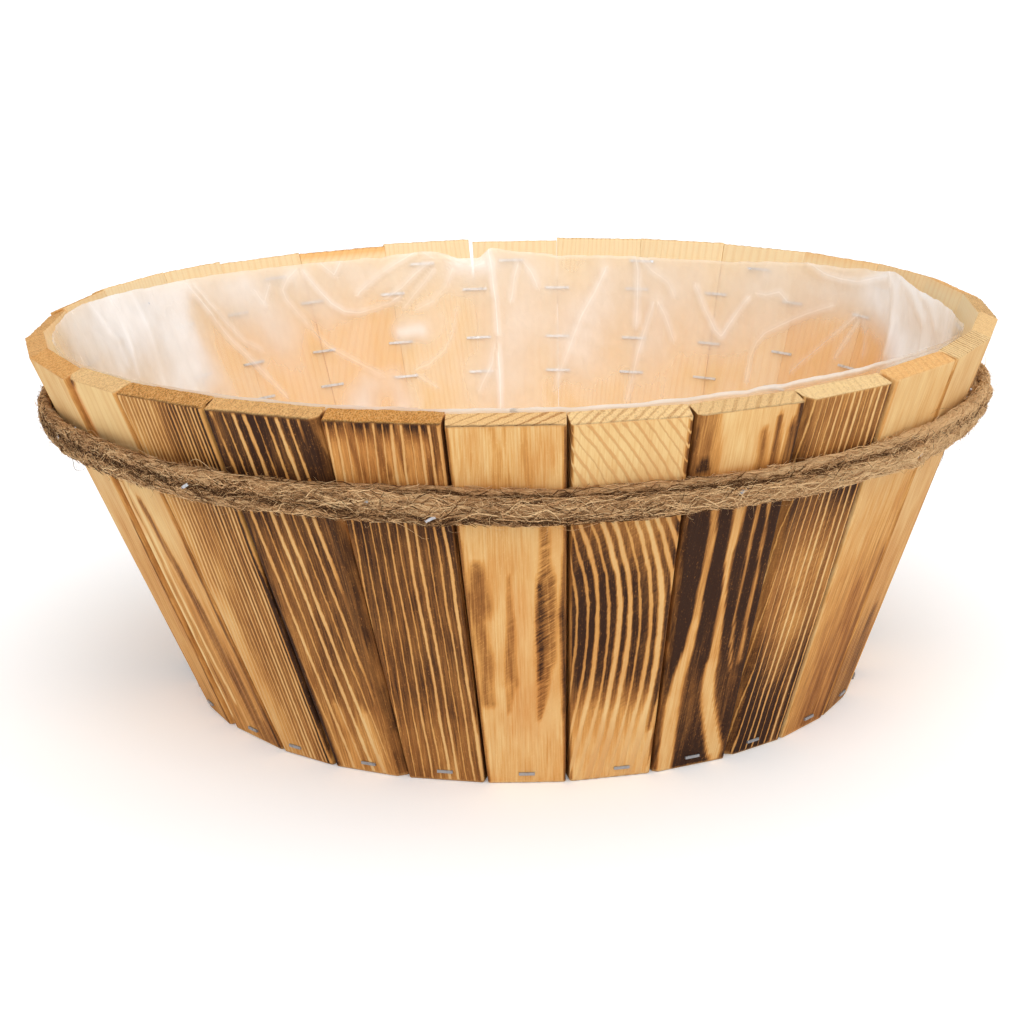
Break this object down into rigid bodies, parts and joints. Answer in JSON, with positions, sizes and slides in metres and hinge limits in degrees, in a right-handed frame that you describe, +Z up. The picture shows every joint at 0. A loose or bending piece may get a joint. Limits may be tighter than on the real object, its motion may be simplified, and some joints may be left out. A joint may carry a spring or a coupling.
{
  "type": "wooden basket",
  "caption": "Flared round planter basket of flame-browned pine staves stapled edge to edge round a floor board, with a jute rope stapled round it under the rim and a clear film liner inside",
  "frame": {"origin": "middle of the basket's box at the level of its foot, on the surface that it stands on", "axes": "+Z up, -Y towards the front, +X to the right as seen from the front"},
  "size_m": [0.3979, 0.3981, 0.1562],
  "materials": {
    "pine_pale": "brushed pine that the flame has hardly touched, no lacquer",
    "pine_toasted": "brushed pine browned in streaks by a flame, matt",
    "pine_burnt": "brushed pine burnt dark between its grain lines, matt",
    "jute": "soft, loosely twisted jute fibre with a hairy surface",
    "staple_steel": "bright zinc-coated wire",
    "film": "thin translucent film, crinkled and glossy"
  },
  "bodies": {
    "root": {"stave_01": "pine_pale", "stave_02": "pine_toasted", "stave_03": "pine_burnt", "stave_04": "pine_burnt", "stave_05": "pine_burnt", "stave_06": "pine_pale", "stave_07": "pine_toasted", "stave_08": "pine_burnt", "stave_09": "pine_toasted", "stave_10": "pine_toasted", "stave_11": "pine_toasted", "stave_12": "pine_pale", "stave_13": "pine_toasted", "stave_14": "pine_burnt", "stave_15": "pine_pale", "stave_16": "pine_burnt", "stave_17": "pine_toasted", "stave_18": "pine_burnt", "stave_19": "pine_pale", "stave_20": "pine_toasted", "stave_21": "pine_burnt", "stave_22": "pine_toasted", "stave_23": "pine_toasted", "stave_24": "pine_pale", "stave_25": "pine_burnt", "stave_26": "pine_toasted", "stave_27": "pine_burnt", "stave_28": "pine_pale", "floor_board": "pine_pale", "joint_staples": "staple_steel", "foot_staples": "staple_steel", "liner": "film", "liner_staples": "staple_steel", "rope": "jute", "rope_staples": "staple_steel"}
  },
  "joints": []
}
